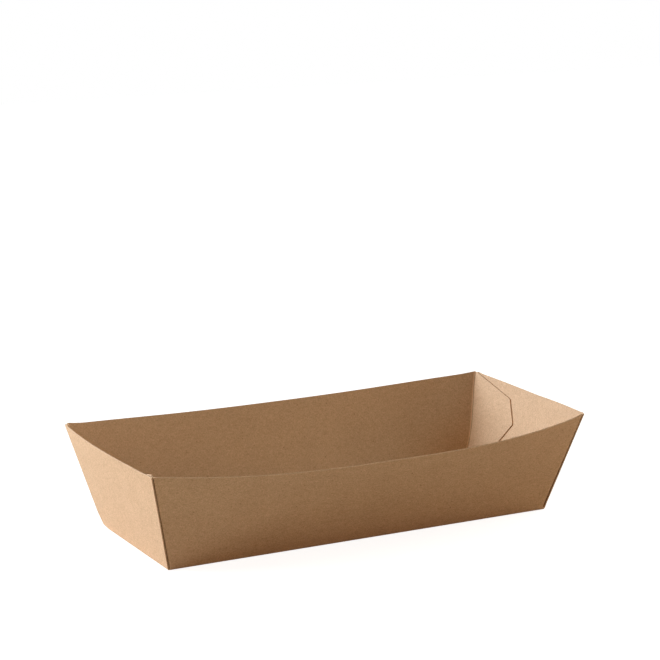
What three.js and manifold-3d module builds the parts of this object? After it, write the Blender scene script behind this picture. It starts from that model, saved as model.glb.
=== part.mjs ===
// Paper food tray: one die-cut blank of brown kraft board, creased, folded up and glued at its four corners.
// Millimetres, +Z up. The origin is under the middle of the base, +X runs along the tray.
import * as THREE from "three";
import { mergeGeometries, mergeVertices } from "three/addons/utils/BufferGeometryUtils.js";
import Module from "manifold-3d";

// Board and creases
const board = 0.45; // thickness of the board
const crease = 0.7; // how far from its corner line a bend starts, on each side
const bendSteps = 4; // facets round a bend

// Tray, measured on the middle of the board
const baseLength = 165; // between the two end creases
const baseWidth = 61.6; // between the two side creases
const cornerHeight = 40.1; // of the four rim corners, above the table
const endLean = 11.2; // how far an end wall leans out, crease to rim
const sideLean = 9.6; // how far a side wall leans out at its corners
const sideBow = 9.3; // how much further it leans half way along, where nothing holds it
const sideBowPower = 2.8; // a high power keeps the bow even and drops it late, near the corners
const endBow = 1.9; // the same for an end wall
const endBowPower = 2.3;
const rimHollow = 0.6; // how far the side walls' cut edge is hollowed half way along
const rimCrown = 0.35; // how far the end walls' cut edge is crowned half way along

// Ears, the small points that the end walls' cut edge rises to at its two ends
const earWidth = 4.5;
const earRise = 0.5;
const earTip = 0.7; // width of the blunt facet outside the point
const earDrop = 0.8; // height of that facet
const edgeSetBack = 0.25; // how far an end wall's cut sides stay back from the side walls' outer faces

// Glue flaps: along the fold from the rim, and out from the fold
const flapShoulder = 1.3; // reach of the flap right at the rim
const flapUpperAlong = 11.9; // the upper corner
const flapUpperReach = 26.8;
const flapLowerAlong = 22.4; // the lower corner
const flapLowerReach = 30.9;
const flapLowerSlope = 1.1; // reach lost for each millimetre further down the fold
const flapCornerSoftness = 2.2; // width of the blend that rounds a corner
const slitClearance = 0.6; // between the flap's foot and the cut beside the end wall, in the flat
const glueFilm = 0.16; // gap between flap and end wall that the adhesive fills

// Adhesive: one short line on each flap
const glueLength = 15;
const glueWidth = 6;
const glueAlong = 19; // its middle, down the fold from the rim
const glueReach = 15; // its middle, out from the fold
const glueBite = 0.1; // how far the dried line reaches into each board

// Grid steps: the largest distance between two rows or columns
const lengthStep = 6.6;
const heightStep = 3.6;
const widthStep = 5.2;

// Derived sizes
const middle = board / 2; // height of the base's middle surface
const rise = cornerHeight - middle;
const halfLength = baseLength / 2;
const halfWidth = baseWidth / 2;
const sideSlant = Math.hypot(sideLean, rise); // height of a side wall, along its slope
const endSlant = Math.hypot(endLean, rise);
const flapOffset = board + glueFilm; // from the end wall's middle surface to the flap's
const foldLean = Math.atan2(sideLean, endSlant); // how far the corner fold leans, in the end wall's plane
const foldLength = Math.hypot(sideLean, endSlant);

// Values from 0 to 1 that land on every break and lie no further apart than step allows.
function stations(breaks, step) {
  const found = [breaks[0]];
  for (let i = 1; i < breaks.length; i += 1) {
    const count = Math.max(1, Math.round((breaks[i] - breaks[i - 1]) / step));
    for (let k = 1; k <= count; k += 1) {
      found.push(THREE.MathUtils.lerp(breaks[i - 1], breaks[i], k / count));
    }
  }
  return found;
}

// How much of its bow a wall has at a place from -1 to 1 along it.
function bowShare(place, power) {
  return 1 - Math.min(1, Math.abs(place)) ** power;
}

// The smaller of two lengths, rounded over where they cross.
function softMin(a, b, softness) {
  const near = Math.max(softness - Math.abs(a - b), 0) / softness;
  return Math.min(a, b) - (near * near * softness) / 4;
}

// A bend between two panels: a smooth curve that starts at one panel, rounds the corner line and ends at the other.
function bend(start, corner, end, share) {
  return new THREE.QuadraticBezierCurve3(start, corner, end).getPoint(share);
}

// Point of the end wall's middle surface, y across the tray and up its slope from the crease.
function endSurface(y, up, inset = 0) {
  const halfHere = halfWidth + (sideLean * up) / endSlant;
  const lean = endLean + endBow * bowShare(y / halfHere, endBowPower);
  const sine = lean / Math.hypot(lean, rise);
  const cosine = Math.sqrt(1 - sine * sine);
  return new THREE.Vector3(
    halfLength + up * sine - inset * cosine,
    y,
    middle + up * cosine + inset * sine,
  );
}

// Half the length of a side wall, up its slope from the crease, to the corner line that it shares with its flap.
function sideHalfLength(up) {
  const height = (up * rise) / sideSlant;
  const inset = (flapOffset * endSlant) / rise;
  return halfLength - inset + (height * endLean) / rise;
}

// Point of a side wall's middle surface, x along the tray and share of the way from crease (0) to rim (1).
function sideSurface(place, share) {
  const slant = sideSlant - rimHollow * bowShare(place, 2);
  const up = slant * share;
  const lean = sideLean + sideBow * bowShare(place, sideBowPower);
  const sine = lean / slant;
  return new THREE.Vector3(
    place * sideHalfLength(sideSlant * share),
    halfWidth + up * sine,
    middle + up * Math.sqrt(1 - sine * sine),
  );
}

// How far the flap reaches out from the fold, at a distance down the fold from the rim.
function flapReach(down) {
  const upperSlope = (flapUpperReach - flapShoulder) / flapUpperAlong;
  const outerSlope = (flapLowerReach - flapUpperReach) / (flapLowerAlong - flapUpperAlong);
  const slitAngle = Math.PI / 2 - foldLean - Math.atan2(endLean, sideSlant);
  const upper = flapShoulder + down * upperSlope;
  const outer = flapUpperReach + (down - flapUpperAlong) * outerSlope;
  const lower = flapLowerReach - (down - flapLowerAlong) * flapLowerSlope;
  const slit = (foldLength - down) * Math.tan(slitAngle) - slitClearance;
  const outline = softMin(softMin(upper, outer, flapCornerSoftness), lower, flapCornerSoftness);
  return Math.max(Math.min(outline, slit), crease + board);
}

// Point of the flap's middle surface: down the fold from the rim, and out from the fold, square to it.
function flapSurface(down, out) {
  const share = 1 - down / foldLength;
  const corner = sideSurface(1, share);
  const sine = endLean / endSlant;
  const up = (corner.z - middle - flapOffset * sine) / (rise / endSlant);
  const y = corner.y - out * Math.cos(foldLean);
  return endSurface(y, up + out * Math.sin(foldLean), flapOffset);
}

// Height of the end wall's cut edge above its straight line, at a distance from the wall's side.
function earHeight(fromSide) {
  if (fromSide < earTip) {
    return earRise - earDrop * (1 - fromSide / earTip);
  }
  return earRise * Math.max(0, 1 - (fromSide - earTip) / (earWidth - earTip));
}

// Columns along the tray, columns across it and rows up the walls, each from 0 to 1.
const alongTray = stations([0, halfLength], lengthStep).map((x) => x / halfLength);
const rimHalfWidth = halfWidth + sideLean;
const acrossTray = stations([0, rimHalfWidth - earWidth, rimHalfWidth - earTip, rimHalfWidth], widthStep)
  .map((y) => y / rimHalfWidth);
const cornerBlend = flapCornerSoftness / 2;
const downFold = stations(
  [
    0,
    flapUpperAlong - cornerBlend,
    flapUpperAlong,
    flapUpperAlong + cornerBlend,
    flapLowerAlong - cornerBlend,
    flapLowerAlong,
    flapLowerAlong + cornerBlend,
    foldLength - (crease * foldLength) / sideSlant,
  ],
  heightStep,
);
const upSideWall = downFold.map((down) => 1 - down / foldLength).reverse();
const upEndWall = stations([crease, endSlant], heightStep * 1.5);
const roundBend = stations([0, 1], 1 / bendSteps);
const outFlap = stations([0, flapLowerReach], widthStep).map((out) => out / flapLowerReach);

// A grid of points, one for each column and row, as an open surface.
function patch(columns, rows, place) {
  const surface = new THREE.PlaneGeometry(1, 1, columns.length - 1, rows.length - 1);
  const points = rows.flatMap((row) => columns.map((column) => place(column, row)));
  surface.setFromPoints(points);
  return surface;
}

// Base: a quarter of it, up to where the bends start.
function baseQuarter() {
  return patch(alongTray, acrossTray, (along, across) => new THREE.Vector3(
    along * (halfLength - crease),
    across * (halfWidth - crease),
    middle,
  ));
}

// Place from 0 to 1 along a side wall that leaves room at its end for the bend into the flap.
function sidePlace(along, share) {
  return along * (1 - crease / sideHalfLength(sideSlant * share));
}

function sideCrease() {
  const share = upSideWall[0];
  return patch(alongTray, roundBend, (along, turn) => bend(
    new THREE.Vector3(along * (halfLength - crease), halfWidth - crease, middle),
    sideSurface(sidePlace(along, 0), 0),
    sideSurface(sidePlace(along, share), share),
    turn,
  ));
}

function sideWall() {
  return patch(alongTray, upSideWall, (along, share) => sideSurface(sidePlace(along, share), share));
}

// The corner fold: from the side wall round into the flap.
function cornerFold() {
  return patch(roundBend, upSideWall, (turn, share) => {
    const down = (1 - share) * foldLength;
    return bend(
      sideSurface(sidePlace(1, share), share),
      sideSurface(1, share),
      flapSurface(down, crease),
      turn,
    );
  });
}

function flap() {
  return patch(outFlap, upSideWall, (out, share) => {
    const down = (1 - share) * foldLength;
    return flapSurface(down, THREE.MathUtils.lerp(crease, flapReach(down), out));
  });
}

// Half the width of an end wall, up its slope: its cut sides end just inside the corner folds' outer faces.
function endHalfWidth(up) {
  return halfWidth + (sideLean * up) / endSlant + middle - edgeSetBack;
}

// Point of the end wall: its rows are stretched up to its cut edge, with the crown and the ears.
function endWallPoint(across, up) {
  const edge = rimCrown * bowShare(across, 2) + earHeight((1 - across) * rimHalfWidth);
  const raised = up + (edge * (up - crease)) / (endSlant - crease);
  return endSurface(across * endHalfWidth(up), raised);
}

function endCrease() {
  return patch(roundBend, acrossTray, (turn, across) => bend(
    new THREE.Vector3(halfLength - crease, across * (halfWidth - crease), middle),
    endSurface(across * endHalfWidth(0), 0),
    endWallPoint(across, crease),
    turn,
  ));
}

function endWall() {
  return patch(upEndWall, acrossTray, (up, across) => endWallPoint(across, up));
}

// A mirrored copy of an open surface, with its faces turned back to the same side.
function mirrored(surface, sx, sy) {
  const copy = surface.clone().scale(sx, sy, 1);
  if (sx * sy < 0) {
    const corners = copy.index.array;
    for (let i = 0; i < corners.length; i += 3) {
      [corners[i], corners[i + 1]] = [corners[i + 1], corners[i]];
    }
  }
  return copy;
}

// Welds open surfaces along their shared edges.
function weld(surfaces) {
  const joined = mergeGeometries(surfaces);
  joined.deleteAttribute("normal");
  joined.deleteAttribute("uv");
  return mergeVertices(joined, 1e-4);
}

// Gives an open surface the board's thickness, half to each side, and closes its cut edges.
function thicken(surface) {
  surface.computeVertexNormals();
  const { position, normal } = surface.attributes;
  const count = position.count;
  const points = [];
  for (const side of [middle, -middle]) {
    for (let i = 0; i < count; i += 1) {
      const point = new THREE.Vector3().fromBufferAttribute(position, i);
      points.push(point.addScaledVector(new THREE.Vector3().fromBufferAttribute(normal, i), side));
    }
  }
  const corners = [...surface.index.array];
  const faces = [];
  const edges = new Set();
  for (let i = 0; i < corners.length; i += 3) {
    const [a, b, c] = corners.slice(i, i + 3);
    faces.push(a, b, c, count + a, count + c, count + b);
    for (const [from, to] of [[a, b], [b, c], [c, a]]) {
      edges.add(`${from},${to}`);
    }
  }
  for (const edge of edges) {
    const [from, to] = edge.split(",").map(Number);
    if (!edges.has(`${to},${from}`)) {
      faces.push(from, count + from, count + to, from, count + to, to);
    }
  }
  const solid = new THREE.BufferGeometry().setFromPoints(points);
  return solid.setIndex(faces);
}

// Adhesive line of one corner: a flat round-ended bar square to the end wall, that bites into both boards.
function glueLine() {
  const straight = (glueLength - glueWidth) / 2;
  const outline = new THREE.Shape();
  outline.absarc(0, straight, glueWidth / 2, 0, Math.PI);
  outline.absarc(0, -straight, glueWidth / 2, Math.PI, 2 * Math.PI);
  const depth = glueFilm + 2 * glueBite;
  const bar = new THREE.ExtrudeGeometry(outline, { depth, bevelEnabled: false, curveSegments: 6 });
  bar.translate(0, 0, -depth / 2);
  const onFlap = flapSurface(glueAlong, glueReach);
  const nextDown = flapSurface(glueAlong + 1, glueReach);
  const nextOut = flapSurface(glueAlong, glueReach + 1);
  const down = nextDown.sub(onFlap).normalize();
  const outward = nextOut.sub(onFlap).cross(down).normalize();
  const across = new THREE.Vector3().crossVectors(down, outward);
  const frame = new THREE.Matrix4().makeBasis(across, down, outward);
  frame.setPosition(onFlap.addScaledVector(outward, flapOffset / 2));
  return weld([bar.applyMatrix4(frame)]);
}

const wasm = await Module();
wasm.setup();

// A closed geometry as a solid that can be joined.
function solidOf(geometry) {
  const bare = geometry.clone();
  bare.deleteAttribute("normal");
  bare.deleteAttribute("uv");
  const welded = mergeVertices(bare, 1e-5);
  return new wasm.Manifold(new wasm.Mesh({
    numProp: 3,
    vertProperties: new Float32Array(welded.attributes.position.array),
    triVerts: new Uint32Array(welded.index.array),
  }));
}

function geometryOf(solid) {
  const mesh = solid.getMesh();
  const geometry = new THREE.BufferGeometry();
  geometry.setAttribute("position", new THREE.BufferAttribute(mesh.vertProperties, mesh.numProp));
  geometry.setIndex(new THREE.BufferAttribute(mesh.triVerts, 1));
  geometry.computeVertexNormals();
  return geometry;
}

// The whole tray: one quarter is drawn, mirrored to the other three, welded, thickened and glued.
function foldedTray() {
  const quarter = weld([baseQuarter(), sideCrease(), sideWall(), cornerFold(), flap(), endCrease(), endWall()]);
  const quarters = [[1, 1], [-1, 1], [1, -1], [-1, -1]];
  const sheet = weld(quarters.map(([sx, sy]) => mirrored(quarter, sx, sy)));
  let tray = solidOf(thicken(sheet));
  for (const [sx, sy] of quarters) {
    tray = tray.add(solidOf(mirrored(glueLine(), sx, sy)));
  }
  return geometryOf(tray);
}

const kraft = new THREE.MeshStandardMaterial({ color: 0xc49a6c, roughness: 0.9, metalness: 0 });
const tray = new THREE.Mesh(foldedTray(), kraft);
tray.name = "folded_tray";

const group = new THREE.Group();
group.add(tray);

export default group;
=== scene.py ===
import math

import bmesh
import bpy
from mathutils import Matrix, Vector


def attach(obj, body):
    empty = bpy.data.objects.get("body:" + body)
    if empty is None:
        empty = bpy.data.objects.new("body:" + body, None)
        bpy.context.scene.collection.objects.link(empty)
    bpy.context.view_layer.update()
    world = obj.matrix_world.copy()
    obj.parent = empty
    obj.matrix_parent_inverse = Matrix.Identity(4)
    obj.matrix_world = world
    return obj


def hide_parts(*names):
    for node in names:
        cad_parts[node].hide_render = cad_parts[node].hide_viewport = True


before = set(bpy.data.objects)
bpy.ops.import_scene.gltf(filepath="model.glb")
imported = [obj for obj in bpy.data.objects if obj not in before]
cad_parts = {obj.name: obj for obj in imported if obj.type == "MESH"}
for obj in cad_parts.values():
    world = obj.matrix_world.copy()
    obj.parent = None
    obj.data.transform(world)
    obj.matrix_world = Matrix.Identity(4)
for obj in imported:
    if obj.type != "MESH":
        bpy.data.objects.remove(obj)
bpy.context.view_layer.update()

# The blank: one sheet of brown kraft board, die-cut flat and creased. It has a base, two side walls with a
# glue flap at each end, and two end walls whose cut edge rises to a small ear at each side.
# A quarter of it is drawn flat, in millimetres, by extruding panel from panel, and mirrored to the other three.
BOARD = 0.45  # thickness
CREASE = 0.7  # how far from its crease line a bend starts, on each side
FOLD = 0.4  # the same for the tighter corner folds
BASE_LENGTH = 165
BASE_WIDTH = 61.6
CORNER_HEIGHT = 40.1  # of the four rim corners, above the table
END_LEAN = 11.2  # how far a wall leans out, crease to rim
SIDE_LEAN = 9.6

middle = BOARD / 2
rise = CORNER_HEIGHT - middle
half_length = BASE_LENGTH / 2
half_width = BASE_WIDTH / 2
side_slant = math.hypot(SIDE_LEAN, rise)
end_slant = math.hypot(END_LEAN, rise)

GLUE_FILM = 0.16  # gap between flap and end wall that the adhesive fills
flap_offset = BOARD + GLUE_FILM
fold_lean = math.atan2(SIDE_LEAN, end_slant)  # how far the corner fold leans, in the end wall's plane
fold_length = math.hypot(SIDE_LEAN, end_slant)
FOLD_SPRING = 0.35  # how far the fold itself stands off, where the board springs back from the glue
fold_foot = Vector((half_length - (flap_offset + FOLD_SPRING) * end_slant / rise, half_width))
fold_along = Vector((END_LEAN, side_slant)).normalized()
fold_out = Vector((fold_along.y, -fold_along.x))

EAR_WIDTH = 4.5
EAR_TIP = 1.4  # width of the blunt facet outside the ear's point
EDGE_SET_BACK = 0.25  # an end wall's cut sides stay back from the side walls' outer faces
rim_half_width = half_width + SIDE_LEAN

FLAP_SHOULDER = 1.3  # reach of the flap right at the rim
FLAP_UPPER = (11.3, 25.9)  # a flap's two outer corners: down the fold from the rim, and out from the fold
FLAP_LOWER = (22, 30.5)
FLAP_LOWER_SLOPE = 1.07
FLAP_SOFTNESS = 0.7
SLIT_CLEARANCE = 0.6  # between the flap's foot and the cut beside the end wall

LENGTH_CUTS = 45
WIDTH_CUTS = 7
END_ROWS = 24
FLAP_COLUMNS = 18
BEND_STEPS = 6
ROWS_BETWEEN = (9, 5, 6, 5, 12)  # rows of the side wall between its flap's corners


def soft_min(first, second, softness):
    """The smaller of two lengths, rounded over where they cross."""
    near = max(softness - abs(first - second), 0) / softness
    return min(first, second) - near * near * softness / 4


def flap_reach(down):
    """How far the flap reaches out from the fold, at a distance down the fold from the rim."""
    (upper_down, upper_out), (lower_down, lower_out) = FLAP_UPPER, FLAP_LOWER
    upper = FLAP_SHOULDER + down * (upper_out - FLAP_SHOULDER) / upper_down
    outer = upper_out + (down - upper_down) * (lower_out - upper_out) / (lower_down - upper_down)
    lower = lower_out - (down - lower_down) * FLAP_LOWER_SLOPE
    slit_angle = math.pi / 2 - fold_lean - math.atan2(END_LEAN, side_slant)
    slit = (fold_length - down) * math.tan(slit_angle) - SLIT_CLEARANCE
    outline = soft_min(soft_min(upper, outer, FLAP_SOFTNESS), lower, FLAP_SOFTNESS)
    return max(min(outline, slit), FOLD + BOARD)


def fold_line(up):
    """Half the length of a side wall up to its corner fold, at a distance up its slope."""
    return fold_foot.x + up * END_LEAN / side_slant


def end_half_width(up):
    """Half the width of an end wall, at a distance up its slope."""
    return half_width + SIDE_LEAN * up / end_slant + middle - EDGE_SET_BACK


def from_fold(point):
    """Flat place of a point as its distance down the corner fold from the rim, and out from the fold."""
    away = Vector((point.x, point.y)) - fold_foot
    return fold_length - away.dot(fold_along), away.dot(fold_out)


def on_blank(down, out):
    place = fold_foot + fold_along * (fold_length - down) + fold_out * out
    return Vector((place.x, place.y, 0))


def select_edges(blank, test):
    """In edit mode, selects only the edges whose two end points pass the test."""
    bpy.ops.mesh.select_mode(type="EDGE")
    bpy.ops.mesh.select_all(action="DESELECT")
    cut = bmesh.from_edit_mesh(blank.data)
    for edge in cut.edges:
        edge.select_set(all(test(point.co) for point in edge.verts))
    bmesh.update_edit_mesh(blank.data)


def extrude_to(blank, place):
    """In edit mode, extrudes the selected edges and moves each new point to the place given for it."""
    bpy.ops.mesh.extrude_edges_move(TRANSFORM_OT_translate={"value": (0, 0, 0)})
    cut = bmesh.from_edit_mesh(blank.data)
    for point in cut.verts:
        if point.select:
            point.co = place(point.co)
    bmesh.update_edit_mesh(blank.data)


bpy.ops.object.select_all(action="DESELECT")
base_x = half_length - CREASE
base_y = half_width - CREASE
bpy.ops.mesh.primitive_plane_add(size=1, location=(base_x / 2, base_y / 2, 0))
blank = bpy.context.object
blank.name = "kraft_tray"
blank.scale = (base_x, base_y, 1)
bpy.ops.object.transform_apply(location=True, rotation=False, scale=True)

bpy.ops.object.mode_set(mode="EDIT")
ear_start = base_y * (1 - EAR_WIDTH / rim_half_width)
ear_tip = base_y * (1 - EAR_TIP / rim_half_width)
select_edges(blank, lambda point: point.y < 0.01 or point.y > base_y - 0.01)
bpy.ops.mesh.subdivide(number_cuts=LENGTH_CUTS)
for line in [ear_start * share / WIDTH_CUTS for share in range(1, WIDTH_CUTS)]:
    bpy.ops.mesh.select_all(action="SELECT")
    bpy.ops.mesh.bisect(plane_co=(0, line, 0), plane_no=(0, 1, 0))
for line in (ear_start, (2 * ear_start + ear_tip) / 3, (ear_start + 2 * ear_tip) / 3, ear_tip):
    bpy.ops.mesh.select_all(action="SELECT")
    bpy.ops.mesh.bisect(plane_co=(0, line, 0), plane_no=(0, 1, 0))

# The side wall goes up row by row, and each row ends where the corner fold starts to bend.
blend = FLAP_SOFTNESS / 2
breaks = [0, FLAP_UPPER[0] - blend, FLAP_UPPER[0] + blend, FLAP_LOWER[0] - blend,
          FLAP_LOWER[0] + blend, fold_length * (1 - CREASE / side_slant)]
downs = [0.0]
for first, last, rows in zip(breaks, breaks[1:], ROWS_BETWEEN):
    downs += [first + (last - first) * row / rows for row in range(1, rows + 1)]
side_rows = [side_slant * (1 - down / fold_length) for down in reversed(downs)]


def side_row(lower_end, up):
    """Places a row of the side wall at a distance up its slope, stretched to its own length."""
    longer = (fold_line(up) - FOLD) / lower_end
    return lambda point: Vector((point.x * longer, half_width + up, 0))


select_edges(blank, lambda point: point.y > base_y - 0.01)
row_end = base_x
first_end = fold_line(side_rows[0]) - FOLD
for step in range(1, BEND_STEPS + 1):
    share = step / BEND_STEPS
    strip_end = base_x + (first_end - base_x) * share
    strip_y = base_y + (CREASE + side_rows[0]) * share
    extrude_to(blank, lambda point: Vector((point.x * strip_end / row_end, strip_y, 0)))
    row_end = strip_end
for up in side_rows[1:]:
    extrude_to(blank, side_row(row_end, up))
    row_end = fold_line(up) - FOLD

# The flap grows out of the side wall's end: first the strip that the fold bends, then the flap itself.
def at_wall_end(point):
    return point.y > half_width + side_rows[0] - 0.01 and from_fold(point)[1] > -FOLD * 1.2


select_edges(blank, at_wall_end)
for step in range(1, BEND_STEPS + 1):
    out = FOLD * (2 * step / BEND_STEPS - 1)
    extrude_to(blank, lambda point: on_blank(from_fold(point)[0], out))
for step in range(1, FLAP_COLUMNS + 1):
    share = step / FLAP_COLUMNS
    extrude_to(blank, lambda point: on_blank(
        from_fold(point)[0], FOLD + share * (flap_reach(from_fold(point)[0]) - FOLD)))

# The end wall goes up from the base's other edge and flares to its rim.
select_edges(blank, lambda point: point.x > base_x - 0.01 and point.y < base_y + 0.01)
end_width = base_y
for step in range(1, BEND_STEPS + END_ROWS + 1):
    if step <= BEND_STEPS:
        up = CREASE * (2 * step / BEND_STEPS - 1)
        width = base_y + (end_half_width(CREASE) - base_y) * step / BEND_STEPS
    else:
        up = CREASE + (end_slant - CREASE) * (step - BEND_STEPS) / END_ROWS
        width = end_half_width(up)
    extrude_to(blank, lambda point: Vector((half_length + up, point.y * width / end_width, 0)))
    end_width = width

# At the base's corner, where three creases meet, a small web of board joins the feet of the two walls.
def at_foot(point):
    """Whether a point lies on the cut beside the end wall's bend, or on the end of the side wall's bend."""
    share = (point.y - base_y) / (CREASE + side_rows[0])
    on_side = abs(point.x - base_x - (first_end - base_x) * share) < 0.01
    on_end = point.x < half_length + CREASE + 0.01 and point.y < end_half_width(CREASE) + 0.01
    return -0.01 < share < 1.01 and (on_side or on_end and point.x > base_x - 0.01)


select_edges(blank, at_foot)
bpy.ops.mesh.edge_face_add()
bpy.ops.object.mode_set(mode="OBJECT")

mirror = blank.modifiers.new("quarters", "MIRROR")
mirror.use_axis = (True, True, False)
mirror.use_clip = True
mirror.merge_threshold = 0.001
bpy.ops.object.modifier_apply(modifier=mirror.name)

# The flat place of each point stays on the board as its UV map, a hundred millimetres to the unit.
flat_map = blank.data.uv_layers.active or blank.data.uv_layers.new(name="blank")
flat_map.name = "blank"
for corner in blank.data.loops:
    flat = blank.data.vertices[corner.vertex_index].co
    flat_map.data[corner.index].uv = (flat.x / 100, flat.y / 100)

# Folding up: every point of the blank is carried to its place on the tray. The end walls bow out a little,
# the side walls much more, because nothing holds their rims between the glued corners.
SIDE_BOW = 9.3
SIDE_BOW_POWER = {-1: 3.05, 1: 2.8}  # the near and the far side wall
END_BOW = 1.9
END_BOW_POWER = 2.3
RIM_HOLLOW = 0.6  # the side walls' cut edge is lower half way along
RIM_CROWN = {-1: 0.1, 1: 0.35}  # the left and right end walls' cut edge is higher half way along
SPRING_REACH = 7  # how far out from the fold the flap meets the end wall again
EDGE_LIFT = -0.08  # how far a flap's free edge stands off

# No two corners of a hand-folded tray are quite alike. Each corner is given as its side of X and of Y.
EARS = {(-1, -1): (0.05, 0.2), (-1, 1): (0.6, 1.0), (1, -1): (0.15, 0.3), (1, 1): (0.3, 0.45)}  # rise, blunt facet
RIM_LIFT = {(-1, -1): -0.5, (-1, 1): 0.1, (1, -1): 0.65, (1, 1): 0.1}  # of the end wall's cut edge
RIM_LIFT_REACH = {(-1, -1): 16, (-1, 1): 26, (1, -1): 36, (1, 1): 30}
SIDE_LIFT = {(-1, -1): -0.5, (-1, 1): 0.7, (1, -1): 0.55, (1, 1): 0.5}  # of the side wall's cut edge
SIDE_LIFT_REACH = {(-1, -1): 60, (-1, 1): 9, (1, -1): 9, (1, 1): 9}
FLAP_LIFT_REACH = 2
RIM_OUT = {(-1, -1): -0.5, (-1, 1): 0.35, (1, -1): 0.2, (1, 1): 0.25}  # how far a corner stands out along the tray
FOOT_OUT = {(-1, -1): 0.15, (-1, 1): 0.3, (1, -1): 0, (1, 1): 0.2}
OUT_REACH = 40
FOOT_EASE = {(-1, -1): 0, (-1, 1): 0.55, (1, -1): 0, (1, 1): 0}  # how far a foot's corner is pressed in
EASE_REACH = 5
FOLD_PRESS = {(-1, -1): (0, 0), (-1, 1): (1, 1), (1, -1): (-0.8, 1.2), (1, 1): (1, 1.45)}  # share of the spring, foot and rim


def bow_share(place, power):
    """How much of its bow a wall has at a place from -1 to 1 along it."""
    return 1 - min(1, abs(place)) ** power


def bend(first, corner, last, turn):
    """A smooth bend between two panels that rounds their corner line."""
    return first * (1 - turn) ** 2 + corner * (2 * turn * (1 - turn)) + last * turn ** 2


def on_end_wall(y, up, inset=0):
    half_here = half_width + SIDE_LEAN * up / end_slant
    lean = END_LEAN + END_BOW * bow_share(y / half_here, END_BOW_POWER)
    sine = lean / math.hypot(lean, rise)
    cosine = math.sqrt(1 - sine * sine)
    return Vector((half_length + up * sine - inset * cosine, y, middle + up * cosine + inset * sine))


def on_side_wall(place, share, side=1):
    """Place from 0 to 1 along the wall's own length, and share of the way from crease to rim."""
    slant = side_slant - RIM_HOLLOW * bow_share(place, 2)
    lean = SIDE_LEAN + SIDE_BOW * bow_share(place, SIDE_BOW_POWER[side])
    sine = lean / slant
    return Vector((
        place * fold_line(side_slant * share),
        half_width + slant * share * sine,
        middle + slant * share * math.sqrt(1 - sine * sine),
    ))


def on_flap(down, out):
    corner = on_side_wall(1, 1 - down / fold_length)
    spring = FOLD_SPRING * max(0, 1 - out / SPRING_REACH) ** 2
    lift = EDGE_LIFT * min(1, out / flap_reach(down)) ** 6
    up = (corner.z - middle - (flap_offset + FOLD_SPRING) * END_LEAN / end_slant) / (rise / end_slant)
    y = corner.y - out * math.cos(fold_lean)
    return on_end_wall(y, up + out * math.sin(fold_lean), flap_offset + spring + lift)


def side_wall_point(flat, side):
    up = flat.y - half_width
    return on_side_wall(flat.x / fold_line(up), up / side_slant, side)


def ear_height(from_side, corner):
    ear, facet = EARS[corner]
    if from_side < EAR_TIP:
        return ear - facet * (1 - from_side / EAR_TIP)
    return ear * max(0, 1 - (from_side - EAR_TIP) / (EAR_WIDTH - EAR_TIP))


def end_wall_point(across, up, corner):
    from_side = (1 - across) * rim_half_width
    edge = RIM_CROWN[corner[0]] * bow_share(across, 2) + ear_height(from_side, corner)
    edge += RIM_LIFT[corner] * bow_share(from_side / RIM_LIFT_REACH[corner], 2)
    raised = up + edge * (up - CREASE) / (end_slant - CREASE)
    return on_end_wall(across * end_half_width(up), raised)


def folded_quarter(flat, corner_side):
    """Place on the folded tray of a point of the blank's first quarter, and how far into a bend it lies."""
    side = corner_side[1]
    if flat.x <= base_x + 0.001 and flat.y <= base_y + 0.001:
        return Vector((flat.x, flat.y, middle)), 0
    up = flat.x - half_length
    if up > -CREASE + 0.001 and flat.y < end_half_width(max(up, 0)) + 0.05:
        if up >= CREASE - 0.001:
            return end_wall_point(flat.y / end_half_width(up), up, corner_side), 0
        turn = (up + CREASE) / (2 * CREASE)
        across = flat.y / (base_y + (end_half_width(CREASE) - base_y) * turn)
        foot = Vector((base_x, across * base_y, middle))
        corner = on_end_wall(across * end_half_width(0), 0)
        return bend(foot, corner, end_wall_point(across, CREASE, corner_side), turn), turn
    if flat.y < half_width + side_rows[0] - 0.001:
        turn = (flat.y - base_y) / (CREASE + side_rows[0])
        along = flat.x / (base_x + (first_end - base_x) * turn)
        foot = Vector((along * base_x, base_y, middle))
        corner = on_side_wall(along * (1 - CREASE / fold_line(0)), 0, side)
        wall = side_wall_point(Vector((along * first_end, half_width + side_rows[0])), side)
        return bend(foot, corner, wall, turn), turn
    down, out = from_fold(flat)
    if flat.x <= fold_line(flat.y - half_width) - FOLD + 0.001:
        return side_wall_point(flat, side), 0
    if out >= FOLD - 0.001:
        return on_flap(down, out), 0
    turn = (out + FOLD) / (2 * FOLD)
    wall = side_wall_point(on_blank(down, -FOLD).to_2d(), side)
    return bend(wall, on_side_wall(1, 1 - down / fold_length, side), on_flap(down, FOLD), turn), turn


SLACK = 2.25  # the far right corner fold is pushed in this much, not quite half way up
SLACK_HEIGHT = 0.42
SLACK_REACH = 30


def slack_fold(flat, place):
    """How far a point by the slack corner fold is pushed in."""
    if flat.y < end_half_width(max(flat.x - half_length, 0)) + 0.05:
        return Vector((0, 0, 0))
    share = min(1, max(0, (place.z - middle) / rise))
    height = share / SLACK_HEIGHT if share < SLACK_HEIGHT else (1 - share) / (1 - SLACK_HEIGHT)
    down, out = from_fold(flat)
    away = out / flap_reach(max(down, 0)) if out > 0 else -out / SLACK_REACH
    return Vector((0, -SLACK * height * height * (3 - 2 * height) * max(0, 1 - away) ** 2, 0))


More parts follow.
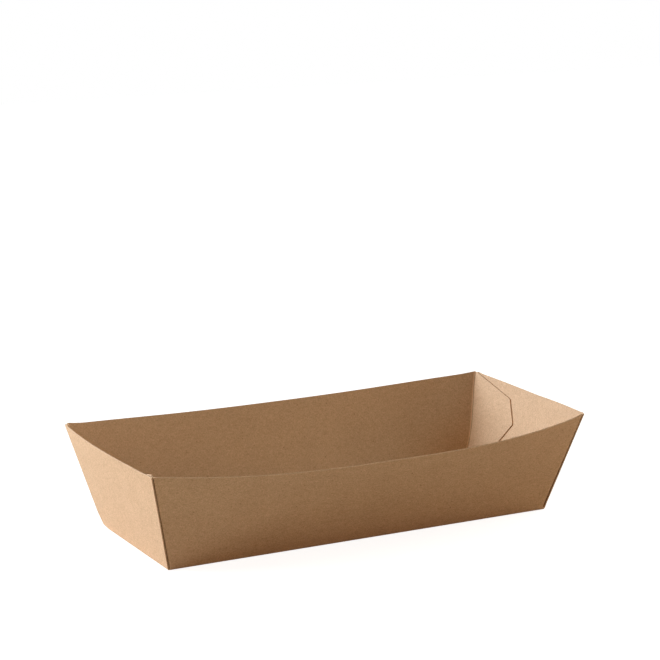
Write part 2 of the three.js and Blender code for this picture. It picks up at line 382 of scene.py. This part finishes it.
def settled(flat, place, corner):
    """How far a point of a hand-folded corner stands off its drawn place."""
    share = min(1, max(0, (place.z - middle) / rise))
    near = max(0, 1 - (half_length + END_LEAN * share - place.x) / OUT_REACH) ** 2
    across = min(1, place.y / (half_width + SIDE_LEAN * share))
    outs = []
    for side in (corner[1], -corner[1]):
        outs.append(FOOT_OUT[corner[0], side] * (1 - share) + RIM_OUT[corner[0], side] * share)
    out = outs[0] * (1 + across) / 2 + outs[1] * (1 - across) / 2
    lift = press = 0
    if flat.y > end_half_width(max(flat.x - half_length, 0)) + 0.05:
        from_here = from_fold(flat)[1]
        away = from_here / FLAP_LIFT_REACH if from_here > 0 else -from_here / SIDE_LIFT_REACH[corner]
        lift = SIDE_LIFT[corner] * share ** 2 * max(0, 1 - away) ** 2
        foot, rim = FOLD_PRESS[corner]
        press = FOLD_SPRING * (foot * (1 - share) + rim * share) * max(0, 1 - abs(from_here) / SPRING_REACH) ** 2
    eased = FOOT_EASE[corner] * max(0, 1 - share * rise / EASE_REACH) * max(0, 1 - (half_width - place.y) / EASE_REACH)
    return Vector((out * near + press - eased, 0, lift))


creased = blank.data.attributes.new("creased", "FLOAT", "POINT")
for point, crease in zip(blank.data.vertices, creased.data):
    flat = point.co.copy()
    sides = (1 if flat.x > 0 else -1, 1 if flat.y > 0 else -1)
    place, turn = folded_quarter(Vector((abs(flat.x), abs(flat.y))), sides)
    place += settled(Vector((abs(flat.x), abs(flat.y))), place, sides)
    if sides == (1, 1):
        place += slack_fold(flat, place)
    point.co = Vector((place.x * sides[0], place.y * sides[1], place.z)) / 1000
    crease.value = 4 * turn * (1 - turn)

# The board gets its thickness last. Its food side, its outside and its cut edges are three finishes. The cut edges are
# then split into a lit copy and two shaded copies of one finish, by which way they face: painted highlight and painted
# shade.
thick = blank.modifiers.new("thickness", "SOLIDIFY")
thick.thickness = BOARD / 1000
thick.offset = 0
thick.use_even_offset = True
thick.material_offset = 1
thick.material_offset_rim = 2


class Wire:
    """A node's output socket. Sums and products of wires and numbers add their own Math nodes."""

    def __init__(self, finish, socket):
        self.finish = finish
        self.socket = socket

    def maths(self, operation, first, second):
        return self.finish.node("ShaderNodeMath", {"operation": operation}, {0: first, 1: second})

    def __add__(self, other):
        return self.maths("ADD", self, other)

    def __sub__(self, other):
        return self.maths("SUBTRACT", self, other)

    def __rsub__(self, other):
        return self.maths("SUBTRACT", other, self)

    def __mul__(self, other):
        return self.maths("MULTIPLY", self, other)

    def __lt__(self, other):
        return self.maths("LESS_THAN", self, other)

    def __gt__(self, other):
        return self.maths("GREATER_THAN", self, other)

    __radd__ = __add__
    __rmul__ = __mul__


class Finish:
    """A material in the making."""

    def __init__(self, name):
        self.material = bpy.data.materials.new(name)
        self.material.use_nodes = True
        self.tree = self.material.node_tree
        self.shader = self.tree.nodes["Principled BSDF"]

    def node(self, kind, settings=(), inputs=(), output=0):
        """Adds a node, sets it up, joins or sets its inputs, and gives one of its outputs."""
        node = self.tree.nodes.new(kind)
        for name, value in dict(settings).items():
            setattr(node, name, value)
        for name, value in dict(inputs).items():
            self.plug(node.inputs[name], value)
        return Wire(self, node.outputs[output])

    def plug(self, socket, value):
        if isinstance(value, Wire):
            self.tree.links.new(value.socket, socket)
        else:
            socket.default_value = value

    def stretched(self, scale, place=(0, 0, 0)):
        """The blank's own flat map, stretched along the board's grain."""
        flat = self.node("ShaderNodeTexCoord", output="UV")
        return self.node("ShaderNodeMapping", inputs={"Vector": flat, "Location": place, "Scale": scale})

    def mottle(self, vector, scale, detail=2.0, roughness=0.5):
        """Soft noise about zero."""
        return self.node("ShaderNodeTexNoise", inputs={
            "Vector": vector, "Scale": scale, "Detail": detail, "Roughness": roughness}) - 0.5

    def mix(self, factor, first, second):
        return self.node("ShaderNodeMix", {"data_type": "RGBA"}, {0: factor, 6: first, 7: second}, output=2)


KRAFT_DARK = (0.31, 0.187, 0.104, 1)
KRAFT_LIGHT = (0.81, 0.566, 0.374, 1)
SPECK = (0.16, 0.085, 0.04, 1)


# A light strip on the crease bead and a dark line in the groove beside it are painted into the food side's colour as a
# painted highlight and painted shade. The bead and groove are not in the board's shape.
BEAD_PLACE = -0.3  # from the fold's line, on the side wall
BEAD_WIDTH = 0.35
BEAD_PAINTED_HIGHLIGHT = 1.2
GROOVE_PLACE = 0.3
GROOVE_WIDTH = 0.5
GROOVE_PAINTED_SHADE = 1.0


def crease_highlight_and_shade(board):
    """Painted highlight along the crease bead and painted shade in the groove beside it, on the food side, placed from
    the flat map.
    """
    flat = board.node("ShaderNodeTexCoord", output="UV")
    parts = [board.node("ShaderNodeSeparateXYZ", inputs={0: flat}, output=axis) for axis in (0, 1)]
    along, across = [board.node("ShaderNodeMath", {"operation": "ABSOLUTE"}, {0: part * 100}) for part in parts]
    out = (along - fold_foot.x) * fold_out.x + (across - fold_foot.y) * fold_out.y

    def close_to(line, width):
        off = board.node("ShaderNodeMath", {"operation": "ABSOLUTE"}, {0: (out - line) * (1 / width)})
        return board.node("ShaderNodeMath", {"operation": "SUBTRACT", "use_clamp": True}, {0: 1.0, 1: off})

    on_wall = across > half_width + CREASE
    painted_crease_light = close_to(BEAD_PLACE, BEAD_WIDTH) * BEAD_PAINTED_HIGHLIGHT - close_to(GROOVE_PLACE, GROOVE_WIDTH) * GROOVE_PAINTED_SHADE
    return painted_crease_light * on_wall


def kraft(name, place, speck_seed, lightness=0.5, grain=1.0, painted_crease_light=False):
    """Brown kraft board: cloudy pulp, short pale fibres, and a bark speck here and there."""
    board = Finish(name)
    flat = board.stretched((1, 1, 1), place)
    clouds = board.mottle(flat, 7, 3) * (0.16 * grain)
    pulp = board.mottle(flat, 48, 2, 0.6) * (0.30 * grain)
    flocks = board.mottle(flat, 130, 2, 0.6) * (0.54 * grain)
    fibres = board.mottle(board.stretched((1.0, 0.5, 1), place), 300, 1, 0.5) * (0.67 * grain)
    tone = lightness + clouds + pulp + flocks + fibres
    # The crease's painted highlight and painted shade are added to the tone here.
    if painted_crease_light:
        tone = tone + crease_highlight_and_shade(board)
    colour = board.mix(tone, KRAFT_DARK, KRAFT_LIGHT)
    specks = {"Vector": board.stretched((1, 1, 1), speck_seed), "Scale": 17.0, "Randomness": 1.0}
    near_speck = board.node("ShaderNodeTexVoronoi", {"voronoi_dimensions": "2D"}, specks, "Distance") < 0.045
    chance = board.node("ShaderNodeTexVoronoi", {"voronoi_dimensions": "2D"}, specks, "Color")
    chosen = board.node("ShaderNodeSeparateColor", inputs={0: chance}) > 0.93
    colour = board.mix(near_speck * chosen * 0.45, colour, SPECK)
    rough = board.node("ShaderNodeBump", inputs={
        "Strength": 0.4, "Distance": 0.00005, "Height": pulp + flocks + fibres})
    board.plug(board.shader.inputs["Base Color"], colour)
    board.plug(board.shader.inputs["Roughness"], 0.8 + fibres * 0.3)
    board.plug(board.shader.inputs["Normal"], rough)
    board.shader.inputs["Specular IOR Level"].default_value = 0.25
    return board.material


# The food side is a little lighter than the outside of the same board (0.52 against 0.5). This is painted light on the
# tray's inside faces.
blank.data.materials.append(kraft("kraft_food_side", (0, 0, 0), (3.1, 0.4, 0), lightness=0.52, painted_crease_light=True))
blank.data.materials.append(kraft("kraft_outside", (4.2, 7.3, 0), (9.7, 5.2, 0), grain=1.1))
blank.data.materials.append(kraft("kraft_edge_painted_highlight", (8.4, 1.9, 0), (6.3, 8.8, 0), lightness=0.95))
blank.data.materials.append(kraft("kraft_edge_painted_half_shade", (1.3, 6.1, 0), (2.2, 7.7, 0), lightness=0.64))
blank.data.materials.append(kraft("kraft_edge_painted_shade", (5.5, 3.3, 0), (8.1, 1.6, 0), lightness=0.34))
bpy.ops.object.modifier_apply(modifier=thick.name)
# The cut edges are one finish in three shades, set by which way each edge faces. The end walls' rims and the flaps'
# upper edges, facing up, get a painted highlight. The end walls' outward cut sides get a lighter painted half shade.
# The side walls' rims and the flaps' inward and lower edges get painted shade.
for face in blank.data.polygons:
    if face.material_index != 2:
        continue
    on_side = abs(face.center.y) * 1000 > rim_half_width - 1.5 and abs(face.normal.y) > abs(face.normal.x)
    if abs(face.center.x) * 1000 < half_length - 8 or on_side and face.normal.z > 0.5:
        face.material_index = 4
    elif face.normal.z < 0.5:
        face.material_index = 3 if face.normal.y * face.center.y > 0 else 4
bpy.ops.object.shade_smooth_by_angle(angle=math.radians(40))

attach(blank, "root")
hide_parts("folded_tray")

# Table: a plain pale floor. The camera sees it white, with the tray's soft shadow left on it.
FLOOR_SHADE = (0.8, 0.7, 0.58, 1)
bpy.ops.object.select_all(action="DESELECT")
bpy.ops.mesh.primitive_plane_add(size=2.6, location=(0, 0, 0))
floor = bpy.context.object
floor.name = "floor"
paint = Finish("floor_white")
paint.shader.inputs["Base Color"].default_value = FLOOR_SHADE
paint.shader.inputs["Roughness"].default_value = 1
paint.shader.inputs["Specular IOR Level"].default_value = 0


def seen_directly(finish):
    """One for a ray from the camera, from a mirror or through glass, and nought for a ray of diffuse light."""
    looks = [finish.node("ShaderNodeLightPath", output=ray) for ray in (
        "Is Camera Ray", "Is Glossy Ray", "Is Transmission Ray")]
    total = looks[0] + looks[1] + looks[2]
    return finish.node("ShaderNodeMath", {"operation": "MINIMUM"}, {0: total, 1: 1.0})


glow = paint.node("ShaderNodeEmission", inputs={"Color": (1, 1, 1, 1), "Strength": 0.9})
matt = paint.node("ShaderNodeBsdfDiffuse", inputs={"Color": (0.35, 0.35, 0.35, 1)})
white = paint.node("ShaderNodeAddShader", inputs={0: glow, 1: matt})
plain = Wire(paint, paint.shader.outputs[0])
floor_shader = paint.node("ShaderNodeMixShader", inputs={0: seen_directly(paint), 1: plain, 2: white})
paint.plug(paint.tree.nodes["Material Output"].inputs["Surface"], floor_shader)
floor.data.materials.append(paint.material)

# Studio light: one large soft lamp at the left and a little behind, a weak one high at the right, two weak
# warm ones in front, and a trace of light from all round.
FILL_COLOUR = (1.0, 1.0, 1.0, 1)
FILL = 0.02
KEY_COLOUR = (0.9, 1.0, 1.1)
HIGH_COLOUR = (0.99, 1.03, 0.91)
WARM_LEFT_COLOUR = (1.0, 0.67, 0.28)
WARM_RIGHT_COLOUR = (1.0, 0.68, 0.43)

world = bpy.data.worlds.new("studio")
bpy.context.scene.world = world
world.use_nodes = True
air = Finish.__new__(Finish)
air.tree = world.node_tree
fill = air.tree.nodes["Background"]
fill.inputs["Color"].default_value = FILL_COLOUR
fill.inputs["Strength"].default_value = FILL
backdrop = air.node("ShaderNodeBackground", inputs={"Color": (1, 1, 1, 1), "Strength": 1.0})
surround = air.node("ShaderNodeMixShader", inputs={0: seen_directly(air), 1: Wire(air, fill.outputs[0]), 2: backdrop})
air.plug(air.tree.nodes["World Output"].inputs["Surface"], surround)


def soft_lamp(name, place, target, size, power, colour):
    data = bpy.data.lights.new(name, "AREA")
    data.shape = "DISK"
    data.size = size
    data.energy = power
    data.color = colour
    lamp = bpy.data.objects.new(name, data)
    bpy.context.scene.collection.objects.link(lamp)
    lamp.location = place
    lamp.rotation_mode = "QUATERNION"
    lamp.rotation_quaternion = (Vector(place) - Vector(target)).to_track_quat("Z", "Y")


soft_lamp("key", (-1.62, 0.82, 0.63), (0, 0, 0.02), 1.1, 47.6, KEY_COLOUR)
soft_lamp("high_right", (1.4, 0, 1.4), (0, 0, 0.02), 1.1, 17.5, HIGH_COLOUR)
soft_lamp("warm_left", (-1.9, -0.5, 0.8), (0, 0, 0.02), 1.1, 8, WARM_LEFT_COLOUR)
soft_lamp("warm_right", (1.8, -0.8, 0.5), (0, 0, 0.02), 1.1, 13.6, WARM_RIGHT_COLOUR)

# Camera: at the photograph's own place, found from the tray's edges.
AZIMUTH, ELEVATION, ROLL = (math.radians(angle) for angle in (-28.253, 12.718, 0.221))
DISTANCE = 0.90954
ASIDE = 0.001015
ABOVE = 0.074234
FOCAL = 2290.1 / 660 * 36
back = Vector((
    math.sin(AZIMUTH) * math.cos(ELEVATION),
    -math.cos(AZIMUTH) * math.cos(ELEVATION),
    math.sin(ELEVATION),
))
right = (-back).cross(Vector((0, 0, 1))).normalized()
above = right.cross(-back)
camera_data = bpy.data.cameras.new("camera")
camera_data.lens = FOCAL
camera_data.sensor_width = 36
camera = bpy.data.objects.new("camera", camera_data)
bpy.context.scene.collection.objects.link(camera)
turned_right = right * math.cos(ROLL) + above * math.sin(ROLL)
turned_up = above * math.cos(ROLL) - right * math.sin(ROLL)
place = back * DISTANCE + right * ASIDE + above * ABOVE + Vector((0, 0, middle / 1000))
camera.matrix_world = Matrix((
    (turned_right.x, turned_up.x, back.x, place.x),
    (turned_right.y, turned_up.y, back.y, place.y),
    (turned_right.z, turned_up.z, back.z, place.z),
    (0, 0, 0, 1),
))
bpy.context.scene.camera = camera
bpy.context.scene.view_settings.view_transform = "Standard"
